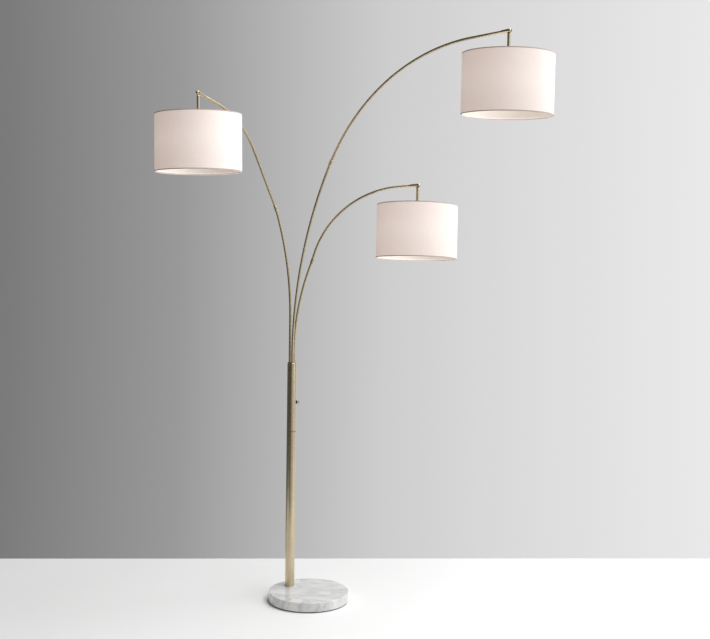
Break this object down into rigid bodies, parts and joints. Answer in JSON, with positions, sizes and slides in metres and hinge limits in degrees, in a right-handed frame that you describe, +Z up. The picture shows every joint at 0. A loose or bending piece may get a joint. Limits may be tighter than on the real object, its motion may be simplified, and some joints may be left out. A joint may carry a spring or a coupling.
{
  "type": "arc floor lamp",
  "caption": "Floor lamp with a round marble base, a brass pole and curved arms that swivel, each carrying a linen drum shade on a tilting drop rod.",
  "frame": {"origin": "centre of the base's underside, on the floor", "axes": "+Z up along the pole, +X to the right of the lamp, -Y to its front; the tall arm leans towards +X and -Y"},
  "size_m": [1.3553, 0.8709, 2.0794],
  "materials": {
    "marble": "polished white marble with soft grey veins",
    "felt": "black felt",
    "brass": "satin antique brass, fine lengthwise brushing",
    "steel": "plain turned steel",
    "black_steel": "blackened steel screw",
    "black_plastic": "matte black moulding",
    "white_plastic": "white moulded lampholder plastic",
    "white_wire": "white coated wire",
    "linen": "off-white linen weave laminated on a stiff liner",
    "frosted_glass": "frosted white bulb envelope, lit softly"
  },
  "bodies": {
    "root": {"marble_base": "marble", "base_felt": "felt", "cord_gland": "black_plastic", "base_washer": "steel", "base_nut": "steel", "pole_nipple": "steel", "pole_foot_plug": "steel", "lower_pole": "brass", "pole_seam_ring": "steel", "upper_pole": "brass", "pole_cap": "brass", "switch_body": "black_plastic", "switch_nut": "black_plastic", "tall_arm_bush": "brass", "left_arm_bush": "brass", "short_arm_bush": "brass"},
    "switch_knob": {"switch_knob": "brass"},
    "tall_arm": {"tall_arm_retainer": "steel", "tall_arm_lower_tube": "brass", "tall_arm_coupling": "brass", "tall_arm_upper_tube": "brass", "tall_arm_knuckle": "brass", "tall_knuckle_screw": "black_steel"},
    "tall_shade_assembly": {"tall_drop_rod": "brass", "tall_socket_cap": "brass", "tall_lampholder": "white_plastic", "tall_shade_ring": "white_plastic", "tall_shade_spider": "white_wire", "tall_shade_lower_wire": "white_wire", "tall_shade": "linen", "tall_bulb": "frosted_glass"},
    "left_arm": {"left_arm_retainer": "steel", "left_arm_lower_tube": "brass", "left_arm_coupling": "brass", "left_arm_upper_tube": "brass", "left_arm_knuckle": "brass", "left_knuckle_screw": "black_steel"},
    "left_shade_assembly": {"left_drop_rod": "brass", "left_socket_cap": "brass", "left_lampholder": "white_plastic", "left_shade_ring": "white_plastic", "left_shade_spider": "white_wire", "left_shade_lower_wire": "white_wire", "left_shade": "linen", "left_bulb": "frosted_glass"},
    "short_arm": {"short_arm_retainer": "steel", "short_arm_lower_tube": "brass", "short_arm_coupling": "brass", "short_arm_upper_tube": "brass", "short_arm_knuckle": "brass", "short_knuckle_screw": "black_steel"},
    "short_shade_assembly": {"short_drop_rod": "brass", "short_socket_cap": "brass", "short_lampholder": "white_plastic", "short_shade_ring": "white_plastic", "short_shade_spider": "white_wire", "short_shade_lower_wire": "white_wire", "short_shade": "linen", "short_bulb": "frosted_glass"}
  },
  "joints": [
    {"name": "switch_turn", "type": "hinge", "parent": "root", "child": "switch_knob", "pos_m": [-0.04955, 0.05525, 0.753], "axis": [1, 0, 0], "continuous": true},
    {"name": "tall_arm_swivel", "type": "hinge", "parent": "root", "child": "tall_arm", "pos_m": [-0.0744, 0.0459, 0.905], "axis": [0, 0, 1], "range_deg": [-30, 20]},
    {"name": "tall_shade_tilt", "type": "hinge", "parent": "tall_arm", "child": "tall_shade_assembly", "pos_m": [0.65568, -0.56671, 2.07348], "axis": [0.6428, 0.766, 0], "range_deg": [-15, 12]},
    {"name": "left_arm_swivel", "type": "hinge", "parent": "root", "child": "left_arm", "pos_m": [-0.08497, 0.0585, 0.905], "axis": [0, 0, 1], "range_deg": [-40, 40]},
    {"name": "left_shade_tilt", "type": "hinge", "parent": "left_arm", "child": "left_shade_assembly", "pos_m": [-0.3969, -0.31324, 1.89088], "axis": [0.77, -0.6377, 0.0199], "range_deg": [-15, 3]},
    {"name": "short_arm_swivel", "type": "hinge", "parent": "root", "child": "short_arm", "pos_m": [-0.06877, 0.06136, 0.905], "axis": [0, 0, 1], "range_deg": [-20, 30]},
    {"name": "short_shade_tilt", "type": "hinge", "parent": "short_arm", "child": "short_shade_assembly", "pos_m": [0.39534, -0.02048, 1.59139], "axis": [0.18, 0.9806, -0.0781], "range_deg": [-15, 12]}
  ]
}
